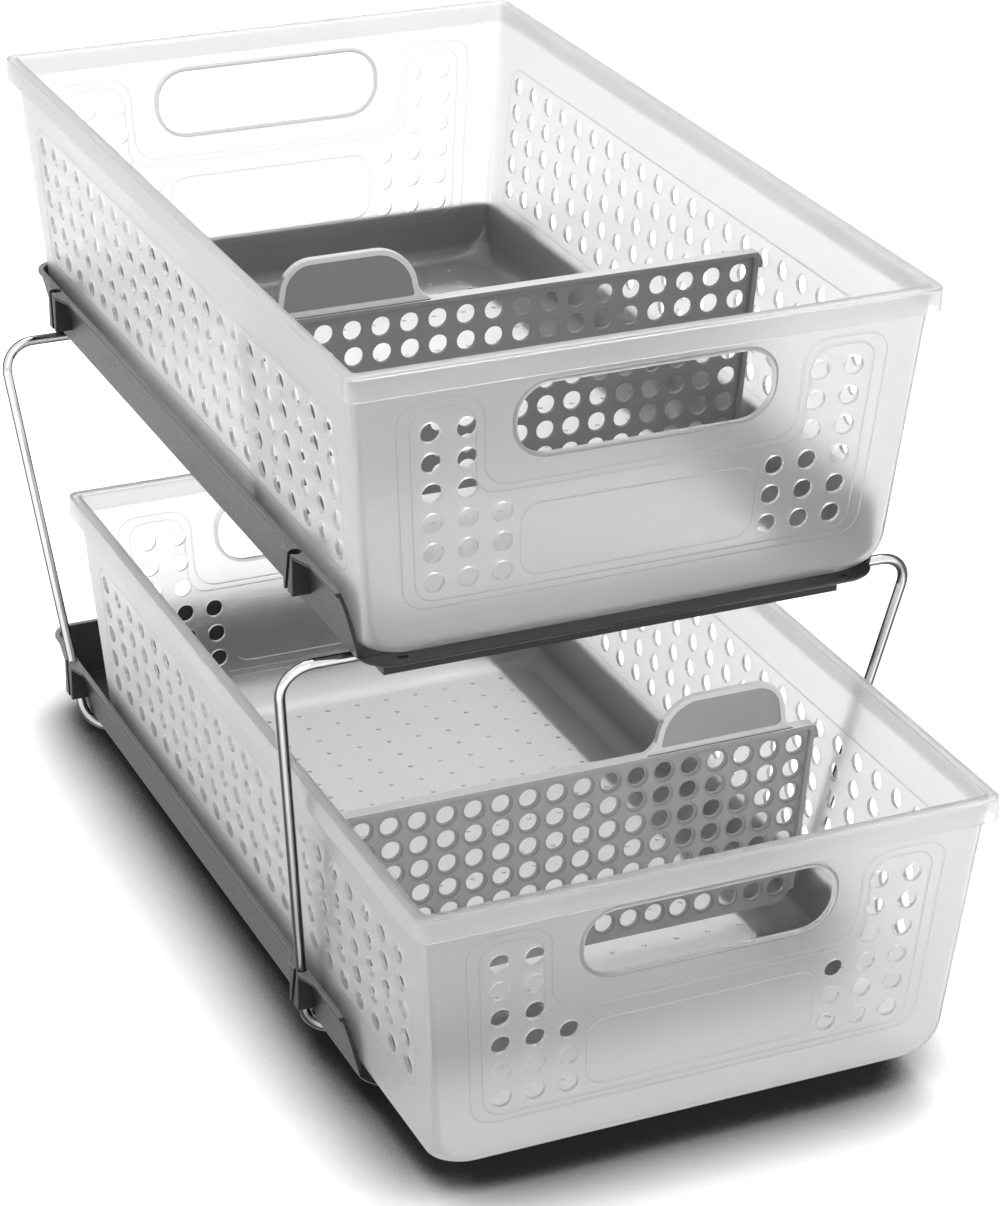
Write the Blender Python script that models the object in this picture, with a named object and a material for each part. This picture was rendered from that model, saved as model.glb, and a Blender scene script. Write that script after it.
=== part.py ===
"""Two-tier pull-out organizer.

Two moulded trays are carried one above the other by two bent wire frames.
Each tray holds a translucent perforated basket that slides out to the front,
and each basket holds a perforated divider that lifts out.

Metres, +Z up, front towards -Y. The origin is the middle of the footprint at
rest, on the surface that the wire frames stand on.
"""
import math

import bmesh
import bpy
from mathutils import Matrix, Vector

# Where the tiers stand
tier_spacing = 0.1892
lower_rest_pull = 0.0685
seat_gap = 0.0003
overrun = 0.004

# Wire frames
wire_radius = 0.00225
foot_flat_depth = 0.0003
foot_bar_drop = 0.0110
top_bar_drop = 0.0068
wire_bend_radius = 0.0150
wire_foot_overhang = 0.0024
wire_top_overhang = 0.0278
front_foot_share = 0.6702
front_top_share = 0.8804
rear_foot_share = 0.8178
rear_top_share = 0.9623
wire_bend_steps = 5
wire_ring_resolution = 2

# Baskets
basket_height = 0.1247
basket_base_half_width = 0.1105
basket_base_half_depth = 0.1965
basket_side_lean_share = 0.0862
basket_end_lean_share = 0.0803
basket_wall = 0.0016
basket_floor = 0.0018
basket_foot_radius = 0.0090
basket_corner_radius = 0.0035
basket_foot_corner_radius = 0.0220
corner_blend_height = 0.0180
rim_height = 0.0104
rim_reach = 0.0035
rim_skirt = 0.0014
rim_top_thickness = 0.0018
rim_edge = 0.0006
rim_corner_radius = 0.0045

# Hand openings and holes in the basket's two ends
hand_half_width = 0.0536
hand_height = 0.0294
hand_top_drop = 0.0156
hand_corner_radius = 0.0130
hole_radius = 0.0042
hole_sides = 6
end_column_inset = 0.0217
end_column_pitch = 0.0148
end_top_row_drop = 0.0289
end_row_pitch = 0.0128
end_low_row = 0.0318
end_columns = 3
end_hole_web = 0.0030

# Holes in the basket's two sides, square here to keep the faces few
side_hole_half_width = 0.0037
side_end_inset = 0.0210
side_column_pitch = 0.0167
side_top_row_drop = 0.0333
side_row_pitch = 0.01265
side_low_row = 0.0408

# Dividers
divider_y = -0.0745
divider_top_drop = 0.0294
divider_low = 0.0090
divider_side_gap = 0.0027
divider_corner_radius = 0.0080
divider_depth = 0.0060
divider_web = 0.0020
divider_frame = 0.0024
flange_low = 0.0160
divider_column_inset = 0.0082
divider_column_pitch = 0.0124
divider_top_row_drop = 0.0091
divider_row_pitch = 0.0114
divider_low_row = 0.0178
pin_radius = 0.00275
pin_length = 0.0019
pin_drop = 0.0014
pin_sides = 8
tab_height = 0.0240
tab_depth = 0.0032
tab_web = 0.0022
tab_inner_foot = 0.0340
tab_inner_top = 0.0560
tab_outer_top = 0.0910
tab_outer_foot = 0.1020
tab_steps = 6

# Trays
tray_floor = 0.0023
tray_side_gap = 0.0005
tray_front_gap = 0.0003
tray_rear_gap = 0.0030
tray_lip_z = 0.0252
tray_lean_share = 0.2050
tray_wall = 0.0016
tray_foot_bevel = 0.0022
tray_inner_bevel = 0.0012
tray_front_corner_radius = 0.0130
tray_rear_corner_radius = 0.0110
tray_lip_height = 0.0020
tray_lip_reach = 0.0010
tray_ear_length = 0.0107
tray_ear_setback = 0.0098
tray_ear_steps = 6
front_edge_drop = 0.0002
side_ledge = 0.0220
front_ledge = 0.0388
rear_ledge = 0.0295
opening_corner_radius = 0.0120

# Wire channels under the trays
channel_inset = 0.0120
channel_half_width = 0.0100
channel_wall = 0.0020
channel_drop = 0.0120
channel_bays = 6

# Snap clips on the tray's side walls
clip_half_width = 0.0050
clip_length = 0.0098
clip_low_z = 0.0073
clip_plate_thickness = 0.0020
clip_plate_half_length = 0.0180
clip_mouth_half_width = 0.0015

corner_steps = 4
foot_steps = 3
corner_blend_steps = 2
weld_distance = 0.00001
hole_fit_share = 0.05

# Worked out from the sizes above
lower_tier_z = wire_radius - foot_flat_depth + foot_bar_drop
upper_tier_z = lower_tier_z + tier_spacing
closed_y = lower_rest_pull / 2
front_foot_y = -front_foot_share * basket_base_half_depth
front_top_y = -front_top_share * basket_base_half_depth
rear_foot_y = rear_foot_share * basket_base_half_depth
rear_top_y = rear_top_share * basket_base_half_depth
tray_floor_top = -seat_gap
tray_underside = tray_floor_top - tray_floor
tray_half_width = basket_base_half_width + tray_side_gap
tray_front_y = -basket_base_half_depth - tray_front_gap
tray_rear_y = basket_base_half_depth + tray_rear_gap
tray_centre_y = (tray_front_y + tray_rear_y) / 2
tray_half_depth = (tray_rear_y - tray_front_y) / 2
wire_foot_half_width = tray_half_width + wire_foot_overhang
wire_top_half_width = tray_half_width + wire_top_overhang
clip_reach = tray_half_width + clip_length
channel_half_length = tray_half_width - channel_inset
opening_half_width = tray_half_width - side_ledge
opening_front_y = tray_front_y + front_ledge
opening_rear_y = tray_rear_y - rear_ledge
hand_high_z = basket_height - hand_top_drop
hand_low_z = hand_high_z - hand_height
end_outer_column = basket_base_half_width - end_column_inset
end_top_row = basket_height - end_top_row_drop
side_outer_column = basket_base_half_depth - side_end_inset
side_top_row = basket_height - side_top_row_drop
divider_top = basket_height - divider_top_drop
divider_top_row = divider_top - divider_top_row_drop
pin_z = side_top_row - pin_drop

colours = {
    "tray": (0.085, 0.087, 0.090),
    "wire": (0.80, 0.80, 0.82),
    "basket": (0.86, 0.88, 0.90),
    "upper_divider": (0.22, 0.22, 0.23),
    "lower_divider": (0.25, 0.25, 0.26),
}


def clear_scene():
    for item in list(bpy.data.objects):
        bpy.data.objects.remove(item, do_unlink=True)


def make_material(name, colour, roughness, metallic, alpha=1):
    material = bpy.data.materials.new(name)
    material.use_nodes = True
    shader = material.node_tree.nodes["Principled BSDF"]
    shader.inputs["Base Color"].default_value = (*colour, 1)
    shader.inputs["Roughness"].default_value = roughness
    shader.inputs["Metallic"].default_value = metallic
    shader.inputs["Alpha"].default_value = alpha
    return material


def link_mesh(name, bm, collection):
    """Write a bmesh to a new object, faces pointing out."""
    bmesh.ops.recalc_face_normals(bm, faces=bm.faces)
    mesh = bpy.data.meshes.new(name)
    bm.to_mesh(mesh)
    bm.free()
    item = bpy.data.objects.new(name, mesh)
    collection.objects.link(item)
    return item


def make_tool(name, bm):
    """A body that only cuts or joins another one."""
    item = link_mesh(name, bm, tools)
    item.hide_render = True
    item.display_type = "WIRE"
    return item


def combine(body, tool, operation):
    """Cut or join body with tool, keep the result as its mesh, drop the tool."""
    modifier = body.modifiers.new(operation.lower(), "BOOLEAN")
    modifier.operation = operation
    modifier.solver = "EXACT"
    modifier.object = tool
    graph = bpy.context.evaluated_depsgraph_get()
    body.data = bpy.data.meshes.new_from_object(body.evaluated_get(graph))
    body.modifiers.clear()
    bpy.data.objects.remove(tool, do_unlink=True)


def rounded_ring(half_x, half_y, rear_radius, front_radius, centre_y=0):
    """Points of a rounded rectangle, anticlockwise seen from above."""
    points = []
    for quarter, (side_x, side_y) in enumerate(((1, 1), (-1, 1), (-1, -1), (1, -1))):
        radius = rear_radius if side_y > 0 else front_radius
        for step in range(corner_steps + 1):
            angle = (quarter + step / corner_steps) * math.pi / 2
            x = side_x * (half_x - radius) + radius * math.cos(angle)
            y = side_y * (half_y - radius) + radius * math.sin(angle)
            points.append((x, centre_y + y))
    return points


def stacked_body(rings):
    """A closed body: one face, extruded from each (outline, height) to the next."""
    bm = bmesh.new()
    place = bm.verts.layers.int.new("place")
    outline, height = rings[0]
    corners = [bm.verts.new((x, y, height)) for x, y in outline]
    for index, corner in enumerate(corners):
        corner[place] = index
    base = bm.faces.new(corners)
    face = base
    for outline, height in rings[1:]:
        grown = bmesh.ops.extrude_face_region(bm, geom=[face])["geom"]
        if face is not base:
            bm.faces.remove(face)
        face = next(item for item in grown if isinstance(item, bmesh.types.BMFace))
        for vert in face.verts:
            x, y = outline[vert[place]]
            vert.co = (x, y, height)
    return bm


def add_box(bm, low, high):
    """A box between two corners, from the cube primitive."""
    low, high = Vector(low), Vector(high)
    made = bmesh.ops.create_cube(bm, size=1)["verts"]
    bmesh.ops.scale(bm, vec=high - low, verts=made)
    bmesh.ops.translate(bm, vec=(low + high) / 2, verts=made)
    return made


def add_rounded_box(bm, low, high, along, radius):
    """A box whose four edges along one axis are rounded."""
    made = set(add_box(bm, low, high))
    edges = [edge for edge in bm.edges if edge.verts[0] in made
             and abs((edge.verts[1].co - edge.verts[0].co).normalized()[along]) > math.cos(math.pi / 4)]
    bmesh.ops.bevel(bm, geom=edges, offset=radius, segments=corner_steps, affect="EDGES", profile=0.5)


def add_end_hole(bm, x, z, length):
    """A round hole's cylinder along Y, through both ends of a basket or a divider."""
    made = bmesh.ops.create_cone(bm, cap_ends=True, segments=hole_sides, radius1=hole_radius,
                                 radius2=hole_radius, depth=length)["verts"]
    bmesh.ops.rotate(bm, matrix=Matrix.Rotation(math.pi / 2, 3, "X"), verts=made)
    bmesh.ops.translate(bm, vec=(x, 0, z), verts=made)


def prism_across(points, along, low, high):
    """A closed body from an outline of (a, z) points, extruded along X or Y."""
    bm = bmesh.new()
    if along == 0:
        corners = [bm.verts.new((low, a, z)) for a, z in points]
    else:
        corners = [bm.verts.new((a, low, z)) for a, z in points]
    face = bm.faces.new(corners)
    grown = bmesh.ops.extrude_face_region(bm, geom=[face])["geom"]
    moved = [item for item in grown if isinstance(item, bmesh.types.BMVert)]
    step = Vector((0, 0, 0))
    step[along] = high - low
    bmesh.ops.translate(bm, vec=step, verts=moved)
    return bm


def rounded_loop(corners, radius, steps):
    """A closed run of points along a polygon whose corners are bent to a radius."""
    points = []
    for index, corner in enumerate(corners):
        back = (corners[index - 1] - corner).normalized()
        onward = (corners[(index + 1) % len(corners)] - corner).normalized()
        half_angle = back.angle(onward) / 2
        centre = corner + (back + onward).normalized() * radius / math.sin(half_angle)
        reach = radius / math.tan(half_angle)
        first = corner + back * reach - centre
        last = corner + onward * reach - centre
        for step in range(steps + 1):
            points.append(centre + radius * first.slerp(last, step / steps).normalized())
    return points


def wire_corners(foot_y, top_y):
    """The four corners of a wire frame, in the lower tray's frame."""
    top_z = tier_spacing - top_bar_drop
    return [Vector((-wire_foot_half_width, foot_y, -foot_bar_drop)),
            Vector((wire_foot_half_width, foot_y, -foot_bar_drop)),
            Vector((wire_top_half_width, top_y, top_z)),
            Vector((-wire_top_half_width, top_y, top_z))]


def wire_body(name, foot_y, top_y, radius, collection):
    """A wire frame's mesh: a closed bent wire, from a bevelled curve."""
    curve = bpy.data.curves.new(name, "CURVE")
    curve.dimensions = "3D"
    curve.bevel_depth = radius
    curve.bevel_resolution = wire_ring_resolution
    points = rounded_loop(wire_corners(foot_y, top_y), wire_bend_radius, wire_bend_steps)
    spline = curve.splines.new("POLY")
    spline.points.add(len(points) - 1)
    for slot, point in zip(spline.points, points):
        slot.co = (*point, 1)
    spline.use_cyclic_u = True
    guide = bpy.data.objects.new(name, curve)
    collection.objects.link(guide)
    graph = bpy.context.evaluated_depsgraph_get()
    mesh = bpy.data.meshes.new_from_object(guide.evaluated_get(graph))
    bpy.data.objects.remove(guide, do_unlink=True)
    bm = bmesh.new()
    bm.from_mesh(mesh)
    bpy.data.meshes.remove(mesh)
    bmesh.ops.remove_doubles(bm, verts=bm.verts, dist=weld_distance)
    return bm


def build_wire(name, foot_y, top_y):
    """A wire frame that stands on a narrow flat along its foot bar."""
    item = link_mesh(name, wire_body(name, foot_y, top_y, wire_radius, parts), parts)
    flat_z = -foot_bar_drop - wire_radius + foot_flat_depth
    bm = bmesh.new()
    add_box(bm, (-wire_top_half_width, foot_y - wire_bend_radius, flat_z - overrun),
            (wire_top_half_width, foot_y + wire_bend_radius, flat_z))
    combine(item, make_tool("foot_flat", bm), "DIFFERENCE")
    item.location = (0, closed_y, lower_tier_z)
    return item


def basket_corner(z):
    """The corner's radius at a height: wide at the foot, tight above it."""
    foot_share = max(0, 1 - z / corner_blend_height) ** 2
    return basket_corner_radius + (basket_foot_corner_radius - basket_corner_radius) * foot_share


def basket_ring(grow, z, corner=None):
    """The basket's outline at a height, its wall moved out by grow."""
    radius = basket_corner(z) + grow if corner is None else corner
    return (rounded_ring(basket_base_half_width + basket_side_lean_share * z + grow,
                         basket_base_half_depth + basket_end_lean_share * z + grow,
                         radius, radius), z)


def basket_shell():
    """Foot radius, wall and overhanging rim outside, wall and floor inside."""
    inner_radius = basket_foot_radius - basket_wall
    rim_low = basket_height - rim_height
    rim_under = basket_height - rim_top_thickness
    rings = []
    for step in range(foot_steps + 1):
        angle = math.pi / 2 * step / foot_steps
        rings.append(basket_ring(basket_foot_radius * (math.sin(angle) - 1),
                                 basket_foot_radius * (1 - math.cos(angle))))
    blend = [basket_foot_radius + (corner_blend_height - basket_foot_radius) * step / corner_blend_steps
             for step in range(1, corner_blend_steps + 1)]
    rings += [basket_ring(0, z) for z in blend]
    skirt_corner = rim_corner_radius - rim_skirt
    rings += [basket_ring(0, rim_under),
              basket_ring(rim_reach - rim_skirt, rim_under, skirt_corner),
              basket_ring(rim_reach - rim_skirt, rim_low, skirt_corner),
              basket_ring(rim_reach, rim_low, rim_corner_radius),
              basket_ring(rim_reach, basket_height - rim_edge, rim_corner_radius),
              basket_ring(rim_reach - rim_edge, basket_height, rim_corner_radius - rim_edge),
              basket_ring(-basket_wall, basket_height)]
    rings += [basket_ring(-basket_wall, z) for z in reversed(blend)]
    for step in range(foot_steps + 1):
        angle = math.pi / 2 * (1 - step / foot_steps)
        rings.append(basket_ring(-basket_wall + inner_radius * (math.sin(angle) - 1),
                                 basket_floor + inner_radius * (1 - math.cos(angle))))
    return stacked_body(rings)


def evenly(first, last, pitch):
    """Places from first towards last, one pitch apart, as many as there is room for."""
    count = int(abs(last - first) / pitch + hole_fit_share) + 1
    step = math.copysign(pitch, last - first)
    return [first + index * step for index in range(count)]


def centred(reach, pitch):
    """Places one pitch apart, evenly about zero, as many as fit within reach."""
    count = int(2 * reach / pitch + hole_fit_share) + 1
    return [(index - (count - 1) / 2) * pitch for index in range(count)]


def basket_end_holes():
    """Centres (x, z) of the holes in an end wall: the columns lean with the sides."""
    top_half_width = basket_base_half_width + basket_side_lean_share * end_top_row
    beside_hand = hand_half_width + hole_radius + end_hole_web
    places = []
    for z in evenly(end_top_row, end_low_row, end_row_pitch):
        narrowing = (basket_base_half_width + basket_side_lean_share * z) / top_half_width
        for column in range(end_columns):
            x = end_outer_column - column * end_column_pitch
            if x > beside_hand or z + end_row_pitch < hand_low_z:
                places += [(x * narrowing, z), (-x * narrowing, z)]
    return places


def build_basket_mesh():
    item = link_mesh("basket", basket_shell(), parts)
    half_length = basket_base_half_depth + basket_end_lean_share * basket_height + overrun
    bm = bmesh.new()
    add_rounded_box(bm, (-hand_half_width, -half_length, hand_low_z),
                    (hand_half_width, half_length, hand_high_z), 1, hand_corner_radius)
    combine(item, make_tool("hand_openings", bm), "DIFFERENCE")
    bm = bmesh.new()
    for x, z in basket_end_holes():
        add_end_hole(bm, x, z, 2 * half_length)
    combine(item, make_tool("end_holes", bm), "DIFFERENCE")
    half_span = basket_base_half_width + basket_side_lean_share * basket_height + overrun
    bm = bmesh.new()
    for z in evenly(side_top_row, side_low_row, side_row_pitch):
        for y in centred(side_outer_column, side_column_pitch):
            add_box(bm, (-half_span, y - side_hole_half_width, z - side_hole_half_width),
                    (half_span, y + side_hole_half_width, z + side_hole_half_width))
    combine(item, make_tool("side_holes", bm), "DIFFERENCE")
    mesh = item.data
    bpy.data.objects.remove(item, do_unlink=True)
    return mesh


def divider_end(z):
    """Half width of the divider at a height, clear of the basket's inner sides."""
    return basket_base_half_width + basket_side_lean_share * z - basket_wall - divider_side_gap


def tab_outline(inset, foot):
    """The finger tab's contour above a foot line, drawn in by inset."""
    points = []
    rise = tab_height - inset
    for step in range(tab_steps + 1):
        angle = math.pi / 2 * step / tab_steps
        outer = tab_outer_top + (tab_outer_foot - inset - tab_outer_top) * math.cos(angle)
        points.append((outer, divider_top + rise * math.sin(angle)))
    inner_foot = tab_inner_foot + 2 * inset
    for step in range(tab_steps + 1):
        share = step / tab_steps
        inner = tab_inner_top + (inner_foot - tab_inner_top) * share
        points.append((inner, divider_top + rise * (1 + math.cos(math.pi * share)) / 2))
    points = [(x, z) for x, z in points if z > foot]
    return [(points[0][0], foot)] + points + [(points[-1][0], foot)]


def web_outline():
    """The perforated web's contour as (x, z), with rounded lower corners."""
    points = []
    for side in (-1, 1):
        corner = []
        for step in range(corner_steps + 1):
            angle = math.pi / 2 * step / corner_steps
            z = divider_low + divider_corner_radius * (1 - math.sin(angle))
            reach = divider_end(z) - divider_corner_radius * (1 - math.cos(angle))
            corner.append((side * reach, z))
        points += corner if side < 0 else corner[::-1]
    web_top = divider_top - divider_frame / 2
    points.append((divider_end(web_top), web_top))
    points.append((-divider_end(web_top), web_top))
    return points


def flange_outline():
    """The flange over the web's top and down both of its ends."""
    under = divider_top - divider_frame
    right = [(divider_end(divider_top), divider_top),
             (divider_end(flange_low), flange_low),
             (divider_end(flange_low) - divider_frame, flange_low),
             (divider_end(under) - divider_frame, under)]
    return right + [(-x, z) for x, z in reversed(right)]


def add_pin(bm, side):
    """A round pin on one end of the divider, in front of a hole in the basket's side."""
    length = pin_length + divider_frame / 2
    made = bmesh.ops.create_cone(bm, cap_ends=True, segments=pin_sides, radius1=pin_radius,
                                 radius2=pin_radius, depth=length)["verts"]
    bmesh.ops.rotate(bm, matrix=Matrix.Rotation(math.pi / 2, 3, "Y"), verts=made)
    bmesh.ops.translate(bm, vec=(side * (divider_end(pin_z) + pin_length - length / 2), 0, pin_z), verts=made)


def divider_holes():
    """Centres (x, z) of the web's holes: the columns lean with the sides."""
    outer_column = divider_end(divider_top_row) - divider_column_inset
    places = []
    for z in evenly(divider_top_row, divider_low_row, divider_row_pitch):
        narrowing = divider_end(z) / divider_end(divider_top_row)
        places += [(x * narrowing, z) for x in centred(outer_column, divider_column_pitch)]
    return places


def build_divider_mesh():
    half_depth = divider_depth / 2
    item = link_mesh("divider", prism_across(flange_outline(), 1, -half_depth, half_depth), parts)
    web = prism_across(web_outline(), 1, -divider_web / 2, divider_web / 2)
    combine(item, make_tool("web", web), "UNION")
    tab = prism_across(tab_outline(0, divider_top - divider_frame / 2), 1, -tab_depth / 2, tab_depth / 2)
    combine(item, make_tool("tab", tab), "UNION")
    for side in (-1, 1):
        near, far = sorted((side * tab_web / 2, side * (tab_depth / 2 + overrun)))
        pocket = prism_across(tab_outline(divider_frame, divider_top + divider_frame), 1, near, far)
        combine(item, make_tool("tab_pocket", pocket), "DIFFERENCE")
        bm = bmesh.new()
        add_pin(bm, side)
        combine(item, make_tool("pin", bm), "UNION")
    bm = bmesh.new()
    for x, z in divider_holes():
        add_end_hole(bm, x, z, divider_depth + overrun)
    combine(item, make_tool("divider_holes", bm), "DIFFERENCE")
    mesh = item.data
    bpy.data.objects.remove(item, do_unlink=True)
    return mesh


def tray_ring(grow, z):
    """The tray's outline at a height, its wall moved out by grow."""
    flare = tray_lean_share * (z - tray_underside) + grow
    return (rounded_ring(tray_half_width + flare, tray_half_depth + flare,
                         tray_rear_corner_radius + grow, tray_front_corner_radius + grow,
                         tray_centre_y), z)


def tray_block():
    """The tray's outside: flared sides with a narrow lip, still solid."""
    lip_low = tray_lip_z - tray_lip_height
    return stacked_body([
        tray_ring(-tray_foot_bevel, tray_underside),
        tray_ring(0, tray_underside + tray_foot_bevel),
        tray_ring(0, lip_low),
        tray_ring(tray_lip_reach, lip_low),
        tray_ring(tray_lip_reach, tray_lip_z),
    ])


def tray_space():
    """The tray's inside, down to its floor."""
    return stacked_body([
        tray_ring(-tray_wall - tray_inner_bevel, tray_floor_top),
        tray_ring(-tray_wall, tray_floor_top + tray_inner_bevel),
        tray_ring(-tray_wall, tray_lip_z + overrun),
    ])


def front_cut():
    """What is taken off the tray's front: the space above the ears' curve."""
    ear_back = tray_front_y + tray_ear_setback + tray_ear_length
    edge_z = tray_floor_top - front_edge_drop
    front = tray_front_y - tray_ear_length
    top = tray_lip_z + overrun
    points = [(front, edge_z), (front, top), (ear_back, top)]
    for step in range(tray_ear_steps + 1):
        angle = math.pi / 2 * step / tray_ear_steps
        points.append((ear_back - tray_ear_length * math.sin(angle),
                       edge_z + (tray_lip_z - edge_z) * math.cos(angle)))
    reach = clip_reach + overrun
    return prism_across(points, 0, -reach, reach)


def add_channels(item):
    """The two ribs under the tray that the wire frames' top bars lie in."""
    bar_clearance = wire_radius + seat_gap
    for bar_y in (front_top_y, rear_top_y):
        bm = bmesh.new()
        add_box(bm, (-channel_half_length, bar_y - channel_half_width, -channel_drop),
                (channel_half_length, bar_y + channel_half_width, tray_underside + tray_floor / 2))
        combine(item, make_tool("channel", bm), "UNION")
        inner = channel_half_width - channel_wall
        bay = (2 * channel_half_length - channel_wall) / channel_bays
        bm = bmesh.new()
        for index in range(channel_bays):
            low_x = -channel_half_length + channel_wall + index * bay
            add_box(bm, (low_x, bar_y - inner, -channel_drop - overrun),
                    (low_x + bay - channel_wall, bar_y + inner, tray_underside))
        combine(item, make_tool("channel_bays", bm), "DIFFERENCE")
        bm = bmesh.new()
        add_box(bm, (-channel_half_length - overrun, bar_y - bar_clearance, -channel_drop - overrun),
                (channel_half_length + overrun, bar_y + bar_clearance, -top_bar_drop))
        combine(item, make_tool("bar_slot", bm), "DIFFERENCE")


def leg_point(foot_y, top_y, z):
    """Where the right leg's centre line passes a height."""
    share = (z + foot_bar_drop) / (tier_spacing - top_bar_drop + foot_bar_drop)
    return Vector((wire_foot_half_width + share * (wire_top_half_width - wire_foot_half_width),
                   foot_y + share * (top_y - foot_y), z))


def add_clips(item):
    """Snap clips on both sides of the tray, cut to hold the wire frames' legs."""
    plate_low = tray_lip_z - clip_plate_thickness
    for foot_y, top_y in ((front_foot_y, front_top_y), (rear_foot_y, rear_top_y)):
        leg = leg_point(foot_y, top_y, (clip_low_z + tray_lip_z) / 2)
        wall_x = tray_half_width + tray_lean_share * (clip_low_z - tray_underside)
        for side in (-1, 1):
            bm = bmesh.new()
            low_x, high_x = sorted((side * (wall_x - tray_wall / 2), side * clip_reach))
            add_box(bm, (low_x, leg.y - clip_half_width, clip_low_z),
                    (high_x, leg.y + clip_half_width, plate_low + clip_plate_thickness / 2))
            combine(item, make_tool("clip_fins", bm), "UNION")
            root_x = side * (tray_half_width + tray_lean_share * (plate_low - tray_underside))
            plate = stacked_body([([(root_x, leg.y - clip_plate_half_length),
                                    (side * clip_reach, leg.y - clip_half_width),
                                    (side * clip_reach, leg.y + clip_half_width),
                                    (root_x, leg.y + clip_plate_half_length)], z)
                                  for z in (plate_low, tray_lip_z)])
            combine(item, make_tool("clip_plate", plate), "UNION")


def cut_wires(item):
    """Room for both wire frames, below the tray and through its clips."""
    for foot_y, top_y in ((front_foot_y, front_top_y), (rear_foot_y, rear_top_y)):
        for drop in (0, tier_spacing):
            bm = wire_body("wire_room", foot_y, top_y, wire_radius + seat_gap, tools)
            bmesh.ops.translate(bm, vec=(0, 0, -drop), verts=bm.verts)
            combine(item, make_tool("wire_room", bm), "DIFFERENCE")
        low = leg_point(foot_y, top_y, clip_low_z - overrun)
        high = leg_point(foot_y, top_y, tray_lip_z + overrun)
        for side in (-1, 1):
            mouth = stacked_body([([(side * leg.x, leg.y - clip_mouth_half_width),
                                    (side * (clip_reach + overrun), leg.y - clip_mouth_half_width),
                                    (side * (clip_reach + overrun), leg.y + clip_mouth_half_width),
                                    (side * leg.x, leg.y + clip_mouth_half_width)], leg.z)
                                  for leg in (low, high)])
            combine(item, make_tool("clip_mouth", mouth), "DIFFERENCE")


def build_tray_mesh():
    item = link_mesh("tray", tray_block(), parts)
    add_clips(item)
    combine(item, make_tool("tray_space", tray_space()), "DIFFERENCE")
    combine(item, make_tool("front_cut", front_cut()), "DIFFERENCE")
    bm = stacked_body([(rounded_ring(opening_half_width, (opening_rear_y - opening_front_y) / 2,
                                     opening_corner_radius, opening_corner_radius,
                                     (opening_rear_y + opening_front_y) / 2), z)
                       for z in (tray_underside - overrun, tray_floor_top + overrun)])
    combine(item, make_tool("floor_opening", bm), "DIFFERENCE")
    add_channels(item)
    cut_wires(item)
    mesh = item.data
    bpy.data.objects.remove(item, do_unlink=True)
    return mesh


def place(name, mesh, location, turn, parent, material):
    """A named part: a shared mesh, placed under its parent."""
    item = bpy.data.objects.new(name, mesh)
    item.location = location
    item.rotation_euler = (0, 0, turn)
    item.parent = parent
    parts.objects.link(item)
    mesh.materials.clear()
    mesh.materials.append(material)
    return item


clear_scene()
parts = bpy.data.collections.new("two_tier_organizer")
tools = bpy.data.collections.new("tools")
bpy.context.scene.collection.children.link(parts)
bpy.context.scene.collection.children.link(tools)

tray_plastic = make_material("tray_plastic", colours["tray"], 0.45, 0)
wire_chrome = make_material("wire_chrome", colours["wire"], 0.08, 1)
basket_plastic = make_material("basket_plastic", colours["basket"], 0.25, 0, alpha=0.45)

tray_mesh = build_tray_mesh()
basket_mesh = build_basket_mesh()
divider_mesh = build_divider_mesh()

for name, foot_y, top_y in (("front_wire_frame", front_foot_y, front_top_y),
                            ("rear_wire_frame", rear_foot_y, rear_top_y)):
    wire = build_wire(name, foot_y, top_y)
    wire.data.materials.clear()
    wire.data.materials.append(wire_chrome)

for tier, tier_z, pull, tab_turn in (("lower", lower_tier_z, lower_rest_pull, 0),
                                     ("upper", upper_tier_z, 0, math.pi)):
    place(f"{tier}_tray", tray_mesh, (0, closed_y, tier_z), 0, None, tray_plastic)
    basket = place(f"{tier}_basket", basket_mesh, (0, closed_y - pull, tier_z), 0, None, basket_plastic)
    divider_plastic = make_material(f"{tier}_divider_plastic", colours[f"{tier}_divider"], 0.4, 0)
    place(f"{tier}_divider", divider_mesh.copy(), (0, divider_y, 0), tab_turn, basket, divider_plastic)
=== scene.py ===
"""Looks of the two-tier pull-out organizer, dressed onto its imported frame.

Each moulding is shaped once at its tier's own origin, the middle of a basket's
underside with the tier pushed shut, then copied to its place in the frame.
Metres, +Z up, front towards -Y.
"""
import math

import bmesh
import bpy
from mathutils import Matrix, Vector


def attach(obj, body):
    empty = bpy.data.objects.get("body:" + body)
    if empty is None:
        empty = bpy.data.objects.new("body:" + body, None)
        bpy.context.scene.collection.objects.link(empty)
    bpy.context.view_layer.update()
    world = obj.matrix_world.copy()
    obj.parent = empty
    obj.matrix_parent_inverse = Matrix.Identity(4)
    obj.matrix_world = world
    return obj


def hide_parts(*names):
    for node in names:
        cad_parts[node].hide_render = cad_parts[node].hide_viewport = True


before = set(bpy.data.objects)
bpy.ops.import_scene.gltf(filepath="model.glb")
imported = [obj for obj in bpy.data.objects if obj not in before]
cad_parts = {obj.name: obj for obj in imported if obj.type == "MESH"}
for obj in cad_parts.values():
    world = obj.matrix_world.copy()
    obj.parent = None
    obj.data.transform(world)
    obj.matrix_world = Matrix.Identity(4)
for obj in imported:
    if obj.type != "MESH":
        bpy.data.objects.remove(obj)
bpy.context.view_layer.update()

# Where the tiers stand, as in the part's source
lower_tier_z = 0.01295
tier_spacing = 0.1892
upper_tier_z = lower_tier_z + tier_spacing
closed_y = 0.03425
lower_pull = 0.0685

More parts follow.
